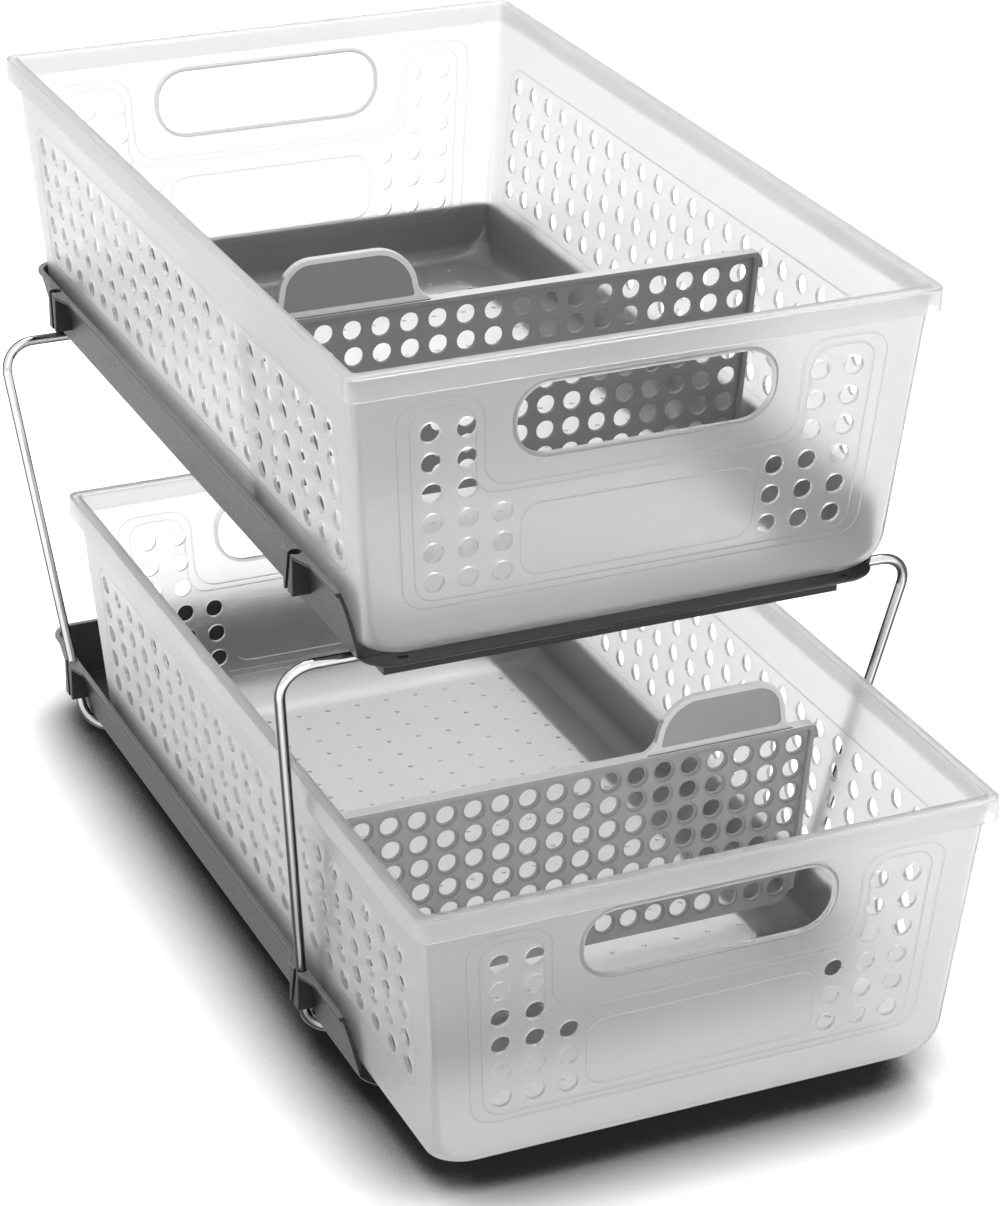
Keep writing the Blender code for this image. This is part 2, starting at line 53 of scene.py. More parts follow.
# Baskets
basket_height = 0.1247
base_half_width = 0.1105
base_half_depth = 0.1965
side_lean = 0.0862
end_lean = 0.0803
basket_wall = 0.0016
basket_foot_radius = 0.0090
basket_corner_radius = 0.0035
foot_corner_radius = 0.0220
corner_blend_height = 0.0180
corner_blend_rings = (0.018, 0.015, 0.012)
foot_steps = 6
rim_height = 0.0104
rim_reach = 0.0035
rim_corner_radius = 0.0045
rim_edge_round = 0.0006
hand_half_width = 0.0536
hand_low_z = 0.0797
hand_high_z = 0.1091
hand_corner_radius = 0.0130
hand_corner_segments = 10
hand_cut_reach = 0.22
hand_lip_radius = 0.0013
hand_lip_offset = 0.0009
hand_lip_narrowing = 1.07
hole_radius = 0.0042
hole_sides = 20
end_columns = (0.0888, 0.0740, 0.0592)
end_top_row = 0.0958
end_row_pitch = 0.0128
end_rows = 6
short_column_first_row = 3
side_columns = 22
side_column_pitch = 0.0167
side_top_row = 0.0914
side_row_pitch = 0.01265
side_rows = 5
outline_radius = 0.00095
outline_corner_segments = 6
# Each end wall's two lines: half width, half width of the notch, foot, step, top, corner radius
end_panel_lines = ((0.0955, 0.0622, 0.0210, 0.0693, 0.1090, 0.0095),
                   (0.0905, 0.0655, 0.0240, 0.0666, 0.1055, 0.0080))
# Half width, half height, corner radius and height of the middle
label_window = (0.0480, 0.0154, 0.0080, 0.0434)
side_panel = (0.1835, 0.0333, 0.0080, 0.0661)
dimple_radius = 0.0015
dimple_height = 0.0006
dimple_pitch_x = 0.0152
dimple_pitch_y = 0.0134
dimple_columns = 12
dimple_rows = 28

# Dividers
divider_y = -0.0745
divider_top = 0.0953
divider_low = 0.0090
divider_side_gap = 0.0027
divider_corner = (0.0080, 8)
divider_depth = 0.0060
divider_web = 0.0020
divider_frame = 0.0024
flange_low = 0.0160
flange_edge_round = 0.0006
flange_outer_round = (0.002, 4)
flange_inner_round = (0.001, 2)
panel_edge_round = 0.0003
divider_columns = 18
divider_column_pitch = 0.0124
divider_rows = 7
divider_top_row = 0.0862
divider_row_pitch = 0.0114
hole_chamfer_width = 0.0007
hole_chamfer_depth = 0.0003
hole_cut_past = 0.0001
pin_radius = 0.00275
pin_length = 0.0019
pin_z = 0.0900
pin_sides = 24
pin_edge_round = 0.0004
tab_depth = 0.0032
tab_recess = 0.0005
tab_edge_round = 0.0010
tab_corners = ((0.0290, -0.0012), (0.0290, 0), (0.0385, 0), (0.0432, 0.0240),
               (0.0975, 0.0240), (0.1010, 0), (0.1080, 0), (0.1080, -0.0012))
tab_rounds = {2: (0.0075, 10), 3: (0.0150, 12), 4: (0.0115, 10), 5: (0.0045, 6)}
tab_panel_corners = ((0.0415, 0.0024), (0.0455, 0.0217), (0.0954, 0.0217), (0.0983, 0.0024))
tab_panel_rounds = {0: (0.0016, 4), 1: (0.0128, 10), 2: (0.0093, 8), 3: (0.0030, 6)}
foot_groove_reach = (0.0350, 0.1035)
foot_groove_width = 0.0009
foot_groove_depth = 0.0015

# Trays
tray_underside = -0.0026
tray_floor_top = -0.0003
tray_half_width = 0.1110
tray_front_y = -0.1968
tray_rear_y = 0.1995
tray_lip_z = 0.0252
tray_lip_height = 0.0020
tray_lip_reach = 0.0010
tray_lean = 0.2050
tray_wall = 0.0016
tray_edge_round = 0.0004
tray_front_corner_radius = 0.0130
tray_rear_corner_radius = 0.0110
tray_foot_bevel = 0.0022
tray_inner_bevel = 0.0012
ear_length = 0.0107
ear_setback = 0.0098
front_edge_drop = 0.0002
notch_x = 0.0949
notch_y = -0.1925
notch_half_length = 0.0024
notch_half_width = 0.0012
opening_half_width = 0.0890
opening_front_y = -0.1580
opening_rear_y = 0.1700
opening_corner_radius = 0.0120
channel_half_length = 0.0990
channel_half_width = 0.0100
channel_wall = 0.0020
channel_drop = 0.0120
channel_bays = 6
clip_half_width = 0.0050
clip_reach = 0.1208
clip_low_z = 0.0073
clip_plate_thickness = 0.0020
clip_plate_half_length = 0.0180
clip_mouth_half_width = 0.0015
clip_edge_round = 0.0004
front_cut_reach = 0.14
ear_bulge_sides = 96
ear_bulge_length = 0.4

# Wire frames
wire_radius = 0.00225
wire_bend_radius = 0.0150
wire_foot_half_width = 0.1134
wire_top_half_width = 0.1388
foot_bar_drop = 0.0110
foot_flat_depth = 0.0003
top_bar_drop = 0.0068
front_wire_y = (-0.13170, -0.17300)
rear_wire_y = (0.16070, 0.18910)

fit_gap = 0.0003
overrun = 0.0040
smooth_angle = math.radians(32)
edge_angle = math.radians(50)
touching = 1e-6
weld_distance = 0.00001

# Light levels and the painted contact shadow on the floor: how open the sky is at its dark and light ends,
# and its shades
world_light = 0.72
through_plastic_share = 0.70
floor_glow = 0.55
# Painted light: the floor's glow for rays through the plastic and glossy rays, at its shaded and open ends
floor_glow_through = (0.75, 0.20)
contact_shadow_reach = 0.06
contact_openness = (0.42, 0.90)
floor_shades = (0.01, 0.92)
# Softboxes: place, size and power
softboxes = {"top_light": ((0.5, 0.6, 2.0), 1.6, 28.0), "front_light": ((-0.6, -2.0, 0.9), 1.4, 13.0)}
light_aim = (0, 0, 0.15)

# Camera, fitted to the photograph: its height and focal length in pixels
photo_height = 1206
focal_length = 3621.8
sensor_width = 36


# ---------------------------------------------------------------- modelling

def take(*items):
    """Select these objects and nothing else, the first of them active."""
    for item in list(bpy.context.selected_objects):
        item.select_set(False)
    for item in items:
        item.select_set(True)
    bpy.context.view_layer.objects.active = items[0] if items else None


def named(name):
    """The object an operator has just made, under its own name."""
    item = bpy.context.object
    item.name = item.data.name = name
    return item


def settle():
    """Put the active object's place, turn and scale into its mesh."""
    bpy.ops.object.transform_apply(location=True, rotation=True, scale=True)


def open_mesh(item):
    take(item)
    bpy.ops.object.mode_set(mode="EDIT")


def close_mesh():
    bpy.ops.object.mode_set(mode="OBJECT")


def middle(part):
    verts = part.verts
    return sum((vert.co for vert in verts), Vector()) / len(verts)


def heading(edge):
    return (edge.verts[1].co - edge.verts[0].co).normalized()


def pick(kind, test):
    """Select the open mesh's verts, edges or faces that pass a test."""
    bpy.ops.mesh.select_mode(type=kind)
    bpy.ops.mesh.select_all(action="DESELECT")
    shape = bmesh.from_edit_mesh(bpy.context.edit_object.data)
    for part in {"VERT": shape.verts, "EDGE": shape.edges, "FACE": shape.faces}[kind]:
        if test(part):
            part.select_set(True)
    bmesh.update_edit_mesh(bpy.context.edit_object.data)


def face_normals_out():
    bpy.ops.mesh.select_all(action="SELECT")
    bpy.ops.mesh.normals_make_consistent(inside=False)


def raise_selection(dx, dy, dz):
    bpy.ops.mesh.extrude_region_move(TRANSFORM_OT_translate={"value": (dx, dy, dz)})


def block(name, low, high):
    """A box from the cube primitive, at its size and place."""
    take()
    middle_point = (Vector(low) + Vector(high)) / 2
    bpy.ops.mesh.primitive_cube_add(size=1, location=middle_point)
    item = named(name)
    item.scale = Vector(high) - Vector(low)
    settle()
    return item


def rounded_sheet(name, half_x, half_y, z, radius, segments, centre_y=0.0):
    """A level face with four rounded corners."""
    take()
    bpy.ops.mesh.primitive_plane_add(size=1, location=(0, centre_y, z))
    item = named(name)
    item.scale = (2 * half_x, 2 * half_y, 1)
    settle()
    open_mesh(item)
    pick("VERT", lambda vert: True)
    bpy.ops.mesh.bevel(offset=radius, segments=segments, affect="VERTICES")
    close_mesh()
    return item


def slab(name, corners, rounds, low_y, high_y):
    """A standing slab from an outline of (x, z) corners, some of them rounded."""
    take()
    bpy.ops.mesh.primitive_circle_add(vertices=len(corners), radius=1, fill_type="NGON")
    item = named(name)
    for vert, (x, z) in zip(item.data.vertices, corners):
        vert.co = (x, low_y, z)
    open_mesh(item)
    for index, (offset, segments) in rounds.items():
        corner = Vector((corners[index][0], low_y, corners[index][1]))
        pick("VERT", lambda vert: (vert.co - corner).length < touching)
        bpy.ops.mesh.bevel(offset=offset, segments=segments, affect="VERTICES")
    pick("FACE", lambda face: True)
    raise_selection(0, high_y - low_y, 0)
    face_normals_out()
    close_mesh()
    return item


def reshape_outline(old, new):
    """Take the selected outline from one (half x, half y, corner radius) to another."""
    shape = bmesh.from_edit_mesh(bpy.context.edit_object.data)
    for vert in shape.verts:
        if vert.select:
            side_x, side_y = math.copysign(1, vert.co.x), math.copysign(1, vert.co.y)
            turn = math.atan2(side_y * vert.co.y - old[1] + old[2], side_x * vert.co.x - old[0] + old[2])
            vert.co.x = side_x * (new[0] - new[2] + new[2] * math.cos(turn))
            vert.co.y = side_y * (new[1] - new[2] + new[2] * math.sin(turn))
    bmesh.update_edit_mesh(bpy.context.edit_object.data)


def apply_all(item):
    take(item)
    for modifier in list(item.modifiers):
        bpy.ops.object.modifier_apply(modifier=modifier.name)


def work(item, tool, operation):
    """Cut or join item with tool, which is used up."""
    modifier = item.modifiers.new(operation.lower(), "BOOLEAN")
    modifier.operation = operation
    modifier.solver = "MANIFOLD"
    modifier.object = tool
    apply_all(item)
    bpy.data.objects.remove(tool, do_unlink=True)


def joined(items):
    take(*items)
    bpy.ops.object.join()
    return bpy.context.object


def mirrored(item, x=False, y=False):
    """Add the mirror image of item across the middle planes named."""
    modifier = item.modifiers.new("mirror", "MIRROR")
    modifier.use_axis = (x, y, False)
    modifier.use_mirror_merge = False
    apply_all(item)
    open_mesh(item)
    face_normals_out()
    close_mesh()
    return item


def repeated(item, count, step):
    modifier = item.modifiers.new("row", "ARRAY")
    modifier.count = count
    modifier.use_relative_offset = False
    modifier.use_constant_offset = True
    modifier.constant_offset_displace = step
    apply_all(item)
    return item


def round_edges(item, width, segments):
    modifier = item.modifiers.new("edges", "BEVEL")
    modifier.width = width
    modifier.segments = segments
    modifier.limit_method = "ANGLE"
    modifier.angle_limit = edge_angle
    modifier.harden_normals = False
    apply_all(item)


def mark_painted_highlights(item, test):
    """Mark the faces that pass a test, for a painted highlight on the moulded edges."""
    marks = item.data.attributes.new("edge", "FLOAT", "FACE")
    for index, face in enumerate(item.data.polygons):
        marks.data[index].value = float(test(face.center, face.normal))


def smooth(item):
    take(item)
    bpy.ops.object.shade_smooth_by_angle(angle=smooth_angle)
    modifier = item.modifiers.new("even", "WEIGHTED_NORMAL")
    modifier.keep_sharp = True
    modifier.weight = 100
    apply_all(item)


def wire_along_outline(item, radius, resolution):
    """Turn a face's outline into a round wire along it."""
    open_mesh(item)
    pick("FACE", lambda face: True)
    bpy.ops.mesh.delete(type="ONLY_FACE")
    close_mesh()
    bpy.ops.object.convert(target="CURVE")
    item.data.bevel_depth = radius
    item.data.bevel_resolution = resolution
    bpy.ops.object.convert(target="MESH")
    open_mesh(item)
    pick("VERT", lambda vert: True)
    bpy.ops.mesh.remove_doubles(threshold=weld_distance)
    face_normals_out()
    close_mesh()
    return item


def placed(item, name, location, turn=0.0):
    """A copy with its own mesh, put in its place in the frame."""
    take(item)
    bpy.ops.object.duplicate()
    copy = named(name)
    copy.rotation_euler = (0, 0, turn)
    copy.location = location
    settle()
    return copy


# ------------------------------------------------------------------ baskets

def lay_on_end(item):
    """Bend a flat outline, drawn as (x, height), onto the front wall's middle."""
    for vert in item.data.vertices:
        x, z = vert.co.x, vert.co.y
        vert.co = (x * (base_half_width + side_lean * z) / base_half_width,
                   -(base_half_depth + end_lean * z) + basket_wall / 2, z)


def lay_on_side(item):
    """The same for an outline drawn as (y, height), onto the right wall."""
    for vert in item.data.vertices:
        y, z = vert.co.x, vert.co.y
        vert.co = (base_half_width + side_lean * z - basket_wall / 2, y, z)


def end_panel_outline(half_width, notch_half_width, low, step, top, radius):
    """The raised line round both blocks of end holes and under the hand opening."""
    take()
    bpy.ops.mesh.primitive_plane_add(size=1, location=(0, (low + step) / 2, 0))
    item = named("end_panel_line")
    item.scale = (2 * half_width, step - low, 1)
    settle()
    open_mesh(item)
    for x in (-notch_half_width, notch_half_width):
        pick("FACE", lambda face: True)
        bpy.ops.mesh.bisect(plane_co=(x, 0, 0), plane_no=(1, 0, 0))
    pick("EDGE", lambda edge: abs(middle(edge).y - step) < touching
         and abs(middle(edge).x) > notch_half_width)
    raise_selection(0, top - step, 0)
    pick("FACE", lambda face: True)
    bpy.ops.mesh.normals_make_consistent(inside=False)
    bpy.ops.mesh.dissolve_faces()
    bpy.ops.mesh.dissolve_limited(angle_limit=math.radians(1))
    pick("VERT", lambda vert: True)
    bpy.ops.mesh.bevel(offset=radius, segments=outline_corner_segments, affect="VERTICES")
    close_mesh()
    lay_on_end(item)
    return wire_along_outline(item, outline_radius, 1)


def basket_lines():
    """The thin raised lines and lips on the basket's walls."""
    ends = [end_panel_outline(*line) for line in end_panel_lines]
    half_width, half_height, radius, middle_z = label_window
    window = rounded_sheet("label_window_line", half_width, half_height, 0, radius,
                           outline_corner_segments, middle_z)
    lay_on_end(window)
    ends.append(wire_along_outline(window, outline_radius, 1))
    lip = rounded_sheet("hand_lip", hand_half_width / hand_lip_narrowing + hand_lip_offset,
                        (hand_high_z - hand_low_z) / 2 + hand_lip_offset, 0,
                        hand_corner_radius + hand_lip_offset, 8, (hand_high_z + hand_low_z) / 2)
    lay_on_end(lip)
    ends.append(wire_along_outline(lip, hand_lip_radius, 2))
    half_width, half_height, radius, middle_z = side_panel
    side = rounded_sheet("side_panel_line", half_width, half_height, 0, radius,
                         outline_corner_segments, middle_z)
    lay_on_side(side)
    side = wire_along_outline(side, outline_radius, 1)
    return [mirrored(line, y=True) for line in ends] + [mirrored(side, x=True)]


def basket_cutters():
    """Every hole in the basket's walls, as one cutting body."""
    opening = block("hand_openings", (-hand_half_width, -hand_cut_reach, hand_low_z),
                    (hand_half_width, hand_cut_reach, hand_high_z))
    open_mesh(opening)
    pick("EDGE", lambda edge: abs(heading(edge).y) > 0.9)
    bpy.ops.mesh.bevel(offset=hand_corner_radius, segments=hand_corner_segments, affect="EDGES")
    close_mesh()
    cutters = []
    tilt = math.pi / 2 + math.atan(end_lean)
    top_width = base_half_width + side_lean * end_top_row
    for row in range(end_rows):
        z = end_top_row - row * end_row_pitch
        y = -(base_half_depth + end_lean * z) + basket_wall / 2
        for column, x in enumerate(end_columns):
            if column == 2 and row < short_column_first_row:
                continue
            take()
            bpy.ops.mesh.primitive_cylinder_add(
                vertices=hole_sides, radius=hole_radius, depth=6 * basket_wall,
                location=(x * (base_half_width + side_lean * z) / top_width, y, z), rotation=(tilt, 0, 0))
            settle()
            cutters.append(bpy.context.object)
    ends = mirrored(joined(cutters), x=True, y=True)
    take()
    bpy.ops.mesh.primitive_cylinder_add(
        vertices=hole_sides, radius=hole_radius, depth=6 * basket_wall,
        location=(base_half_width + side_lean * side_top_row - basket_wall / 2,
                  -(side_columns - 1) / 2 * side_column_pitch, side_top_row),
        rotation=(0, math.pi / 2 + math.atan(side_lean), 0))
    settle()
    sides = bpy.context.object
    repeated(sides, side_columns, (0, side_column_pitch, 0))
    repeated(sides, side_rows, (-side_lean * side_row_pitch, 0, -side_row_pitch))
    mirrored(sides, x=True)
    return joined([opening, ends, sides])


def floor_dimples():
    """Low round dimples that the basket's floor carries in rows."""
    take()
    bpy.ops.mesh.primitive_cone_add(
        vertices=8, radius1=dimple_radius, radius2=dimple_radius * 0.6, depth=2 * dimple_height,
        location=(-(dimple_columns - 1) / 2 * dimple_pitch_x, -(dimple_rows - 1) / 2 * dimple_pitch_y,
                  basket_wall))
    settle()
    dimples = named("floor_dimples")
    repeated(dimples, dimple_columns, (dimple_pitch_x, 0, 0))
    return repeated(dimples, dimple_rows, (0, dimple_pitch_y, 0))


def basket_outline(z, grow=0.0):
    """Half sizes and corner radius of the outer wall: wide corners at the foot, tight above."""
    foot_share = max(0, 1 - z / corner_blend_height) ** 2
    radius = basket_corner_radius + (foot_corner_radius - basket_corner_radius) * foot_share
    return base_half_width + side_lean * z + grow, base_half_depth + end_lean * z + grow, radius + grow


def mark_ridge_shade(item):
    """Record how far each point stands proud of a wall, for the painted shade of the raised lines."""
    ridge_shade = item.data.attributes.new("ridge_shade", "FLOAT", "POINT")
    crest = outline_radius - basket_wall / 2
    for index, vert in enumerate(item.data.vertices):
        x, y, z = vert.co
        if basket_foot_radius < z < basket_height - rim_height:
            side = abs(x) - base_half_width - side_lean * z
            end = abs(y) - base_half_depth - end_lean * z
            proud = max(side, end) if max(side, end) > -basket_wall / 2 else -basket_wall - max(side, end)
            ridge_shade.data[index].value = max(0.0, min(1.0, proud / crest))


def shape_basket():
    """Rolled rim, leaning walls and rounded foot, from one sheet given a wall."""
    rim_z = basket_height - basket_wall
    reach = rim_reach - basket_wall
    skirt_corner = rim_corner_radius - basket_wall
    wall = basket_outline(rim_z)
    item = rounded_sheet("basket", wall[0] + reach, wall[1] + reach, rim_z, skirt_corner, 8)
    open_mesh(item)
    pick("FACE", lambda face: True)
    bpy.ops.mesh.inset(thickness=reach, use_even_offset=True)
    reshape_outline((wall[0], wall[1], skirt_corner - reach), wall)
    rings = [(z, basket_outline(z)) for z in corner_blend_rings]
    for step in range(foot_steps + 1):
        turn = math.pi / 2 * (1 - step / foot_steps)
        z = basket_foot_radius * (1 - math.cos(turn))
        rings.append((z, basket_outline(z, basket_foot_radius * (math.sin(turn) - 1))))
    z, outline = rim_z, wall
    for next_z, next_outline in rings:
        raise_selection(0, 0, next_z - z)
        reshape_outline(outline, next_outline)
        z, outline = next_z, next_outline
    pick("EDGE", lambda edge: edge.is_boundary)
    raise_selection(0, 0, -(rim_height - basket_wall))
    bpy.ops.mesh.select_all(action="SELECT")
    bpy.ops.mesh.normals_make_consistent(inside=False)
    close_mesh()
    floor = min(item.data.polygons, key=lambda face: face.center.z)
    if floor.normal.z > 0:
        open_mesh(item)
        bpy.ops.mesh.select_all(action="SELECT")
        bpy.ops.mesh.flip_normals()
        close_mesh()
    thickness = item.modifiers.new("wall", "SOLIDIFY")
    thickness.thickness = basket_wall
    thickness.offset = -1
    thickness.use_even_offset = True
    apply_all(item)
    round_edges(item, rim_edge_round, 2)
    work(item, joined(basket_lines()), "UNION")
    work(item, floor_dimples(), "UNION")
    work(item, basket_cutters(), "DIFFERENCE")
    smooth(item)
    # The raised lines get painted shade by how far they stand proud
    mark_ridge_shade(item)
    return item


# ----------------------------------------------------------------- dividers

def divider_reach(z):
    return base_half_width + side_lean * z - basket_wall - divider_side_gap


def divider_holes():
    """A hole with a soft edge on both sides of the web, in rows that narrow downwards."""
    half_web = divider_web / 2
    first_x = -(divider_columns - 1) / 2 * divider_column_pitch
    take()
    bpy.ops.mesh.primitive_cylinder_add(
        vertices=hole_sides, radius=hole_radius, depth=2 * (half_web - hole_chamfer_depth),
        location=(first_x, 0, divider_top_row), rotation=(math.pi / 2, 0, 0))
    settle()
    holes = named("divider_holes")
    open_mesh(holes)
    rise = hole_chamfer_depth + hole_cut_past
    spread = 1 + hole_chamfer_width * rise / hole_chamfer_depth / hole_radius
    for side in (-1, 1):
        pick("FACE", lambda face: face.normal.y * side > 0.9)
        raise_selection(0, side * rise, 0)
        bpy.ops.transform.resize(value=(spread, 1, spread), center_override=(first_x, 0, divider_top_row))
    close_mesh()
    repeated(holes, divider_columns, (divider_column_pitch, 0, 0))
    repeated(holes, divider_rows, (0, 0, -divider_row_pitch))
    for vert in holes.data.vertices:
        row = round((divider_top_row - vert.co.z) / divider_row_pitch)
        column_x = (math.floor(vert.co.x / divider_column_pitch) + 0.5) * divider_column_pitch
        vert.co.x += column_x * (divider_reach(divider_top_row - row * divider_row_pitch)
                                 / divider_reach(divider_top_row) - 1)
    return holes


def divider_flange():
    """The flange along the web's top and down both of its ends."""
    under = divider_top - divider_frame
    right = ((divider_reach(divider_top), divider_top), (divider_reach(flange_low), flange_low),
             (divider_reach(flange_low) - divider_frame, flange_low),
             (divider_reach(under) - divider_frame, under))
    outline = right + tuple((-x, z) for x, z in reversed(right))
    rounds = {0: flange_outer_round, 3: flange_inner_round, 4: flange_inner_round, 7: flange_outer_round}
    item = slab("divider", outline, rounds, -divider_depth / 2, divider_depth / 2)
    round_edges(item, flange_edge_round, 2)
    return item


def shape_divider():
    """A perforated web in a three-sided flange, with a thinner finger tab on its top."""
    item = divider_flange()
    top = divider_top - divider_frame / 2
    edge = divider_frame / 4
    foot_reach, top_reach = divider_reach(divider_low) - edge, divider_reach(top) - edge
    web = slab("web", ((-foot_reach, divider_low), (foot_reach, divider_low),
                       (top_reach, top), (-top_reach, top)),
               {0: divider_corner, 1: divider_corner}, -divider_web / 2, divider_web / 2)
    round_edges(web, panel_edge_round, 2)
    work(item, web, "UNION")
    tab = slab("tab", [(x, divider_top + z) for x, z in tab_corners], tab_rounds,
               -tab_depth / 2, tab_depth / 2)
    round_edges(tab, tab_edge_round, 3)
    for side in (-1, 1):
        near, far = sorted((side * (tab_depth / 2 - tab_recess), side * tab_depth))
        panel = slab("tab_panel", [(x, divider_top + z) for x, z in tab_panel_corners],
                     tab_panel_rounds, near, far)
        round_edges(panel, panel_edge_round, 2)
        work(tab, panel, "DIFFERENCE")
    work(item, tab, "UNION")
    for side in (-1, 1):
        near, far = sorted((side * tab_depth / 2, side * (tab_depth / 2 + foot_groove_width)))
        groove = block("foot_groove", (foot_groove_reach[0], near, divider_top - foot_groove_depth),
                       (foot_groove_reach[1], far, divider_top + overrun))
        work(item, groove, "DIFFERENCE")
    take()
    bpy.ops.mesh.primitive_cylinder_add(
        vertices=pin_sides, radius=pin_radius, depth=pin_length + divider_frame / 2,
        location=(divider_reach(pin_z) + (pin_length - divider_frame / 2) / 2, 0, pin_z),
        rotation=(0, math.pi / 2, 0))
    settle()
    pin = named("pin")
    round_edges(pin, pin_edge_round, 2)
    work(item, mirrored(pin, x=True), "UNION")
    work(item, divider_holes(), "DIFFERENCE")
    # Flange tops and tab rims carry a painted highlight
    mark_painted_highlights(item, lambda at, normal: at.z > divider_top - divider_frame / 2 and normal.z > 0.5
               or at.z > divider_top and abs(at.y) > tab_depth / 2 - tab_recess / 2)
    smooth(item)
    return item


# -------------------------------------------------------------- wire frames

def shape_wire(name, wire_y, radius, resolution):
    """A closed bent wire: four corners, rounded, with a bevelled curve along them."""
    take()
    bpy.ops.mesh.primitive_plane_add(size=1)
    item = named(name)
    for vert in item.data.vertices:
        top = vert.co.y > 0
        half_width = wire_top_half_width if top else wire_foot_half_width
        vert.co = (math.copysign(half_width, vert.co.x), wire_y[top],
                   tier_spacing - top_bar_drop if top else -foot_bar_drop)
    open_mesh(item)
    pick("VERT", lambda vert: True)
    bpy.ops.mesh.bevel(offset=wire_bend_radius, segments=12, affect="VERTICES")
    close_mesh()
    return wire_along_outline(item, radius, resolution)


def leg_y(wire_y, z):
    share = (z + foot_bar_drop) / (tier_spacing - top_bar_drop + foot_bar_drop)
    return wire_y[0] + share * (wire_y[1] - wire_y[0])


def leg_x(z):
    share = (z + foot_bar_drop) / (tier_spacing - top_bar_drop + foot_bar_drop)
    return wire_foot_half_width + share * (wire_top_half_width - wire_foot_half_width)


def standing_wire(name, wire_y):
    """A wire frame whose foot bar has the narrow flat that it stands on."""
    item = shape_wire(name, wire_y, wire_radius, 4)
    open_mesh(item)
    pick("FACE", lambda face: True)
    bpy.ops.mesh.bisect(plane_co=(0, 0, -foot_bar_drop - wire_radius + foot_flat_depth), plane_no=(0, 0, -1),
                        use_fill=True, clear_outer=True)
    close_mesh()
    take(item)
    bpy.ops.object.shade_smooth_by_angle(angle=smooth_angle)
    return item


# -------------------------------------------------------------------- trays

tray_centre_y = (tray_front_y + tray_rear_y) / 2
tray_half_depth = (tray_rear_y - tray_front_y) / 2


def tray_sheet(name, half_x, half_y, z, drawn_in):
    """A level face with the tray's corners: wider ones in front than behind."""
    take()
    bpy.ops.mesh.primitive_plane_add(size=1, location=(0, tray_centre_y, z))
    item = named(name)
    item.scale = (2 * half_x, 2 * half_y, 1)
    settle()
    open_mesh(item)
    for front, radius in ((True, tray_front_corner_radius), (False, tray_rear_corner_radius)):
        pick("VERT", lambda vert: (vert.co.y < tray_centre_y) == front)
        bpy.ops.mesh.bevel(offset=radius - drawn_in, segments=10, affect="VERTICES")
    close_mesh()
    return item


def grow_to(half_x, half_y, change):
    """Widen the selected outline of this half size by change, about the tray's middle."""
    bpy.ops.transform.resize(value=((half_x + change) / half_x, (half_y + change) / half_y, 1),
                             center_override=(0, tray_centre_y, 0))


def tray_outside():
    half_x, half_y = tray_half_width, tray_half_depth
    item = tray_sheet("tray", half_x, half_y, tray_underside, 0)
    rise = tray_lip_z - tray_lip_height - tray_underside
    flare = tray_lean * rise
    open_mesh(item)
    pick("FACE", lambda face: True)
    raise_selection(0, 0, rise)
    grow_to(half_x, half_y, flare)
    raise_selection(0, 0, 0)
    grow_to(half_x + flare, half_y + flare, tray_lip_reach)
    raise_selection(0, 0, tray_lip_height)
    pick("EDGE", lambda edge: all(vert.co.z > rise + tray_underside - touching for vert in edge.verts)
         and abs(heading(edge).z) < 0.5 and abs(edge.verts[0].co.x) + abs(edge.verts[0].co.y) > flare)
    bpy.ops.mesh.bevel(offset=tray_edge_round, segments=2, affect="EDGES")
    pick("EDGE", lambda edge: all(abs(vert.co.z - tray_underside) < touching for vert in edge.verts))
    bpy.ops.mesh.bevel(offset=tray_foot_bevel, segments=3, affect="EDGES")
    face_normals_out()
    close_mesh()
    return item


def tray_inside():
    drawn_in = tray_lean * (tray_floor_top - tray_underside) - tray_wall
    half_x, half_y = tray_half_width + drawn_in, tray_half_depth + drawn_in
    item = tray_sheet("tray_inside", half_x, half_y, tray_floor_top, tray_wall)
    rise = tray_lip_z - tray_edge_round - tray_floor_top
    open_mesh(item)
    pick("FACE", lambda face: True)
    raise_selection(0, 0, rise)
    grow_to(half_x, half_y, tray_lean * rise)
    flare = tray_lean * rise
    raise_selection(0, 0, tray_edge_round + overrun)
    grow_to(half_x + flare, half_y + flare, tray_edge_round + overrun)
    pick("EDGE", lambda edge: all(abs(vert.co.z - tray_floor_top) < touching for vert in edge.verts))
    bpy.ops.mesh.bevel(offset=tray_inner_bevel, segments=2, affect="EDGES")
    face_normals_out()
    close_mesh()
    return item


def front_cut():
    """The space above the tray's low front, hollowed so that its ears bulge."""
    ear_back = tray_front_y + ear_setback + ear_length
    edge_z = tray_floor_top - front_edge_drop
    item = block("front_cut", (-front_cut_reach, tray_front_y - ear_length, edge_z),
                 (front_cut_reach, ear_back, tray_lip_z + overrun))
    take()
    bpy.ops.mesh.primitive_cylinder_add(vertices=ear_bulge_sides, radius=1, depth=ear_bulge_length,
                                        rotation=(0, math.pi / 2, 0))
    settle()
    bulge = bpy.context.object
    bulge.scale = (1, ear_length, tray_lip_z - edge_z)
    bulge.location = (0, ear_back, edge_z)
    settle()
    work(item, bulge, "DIFFERENCE")
    return item


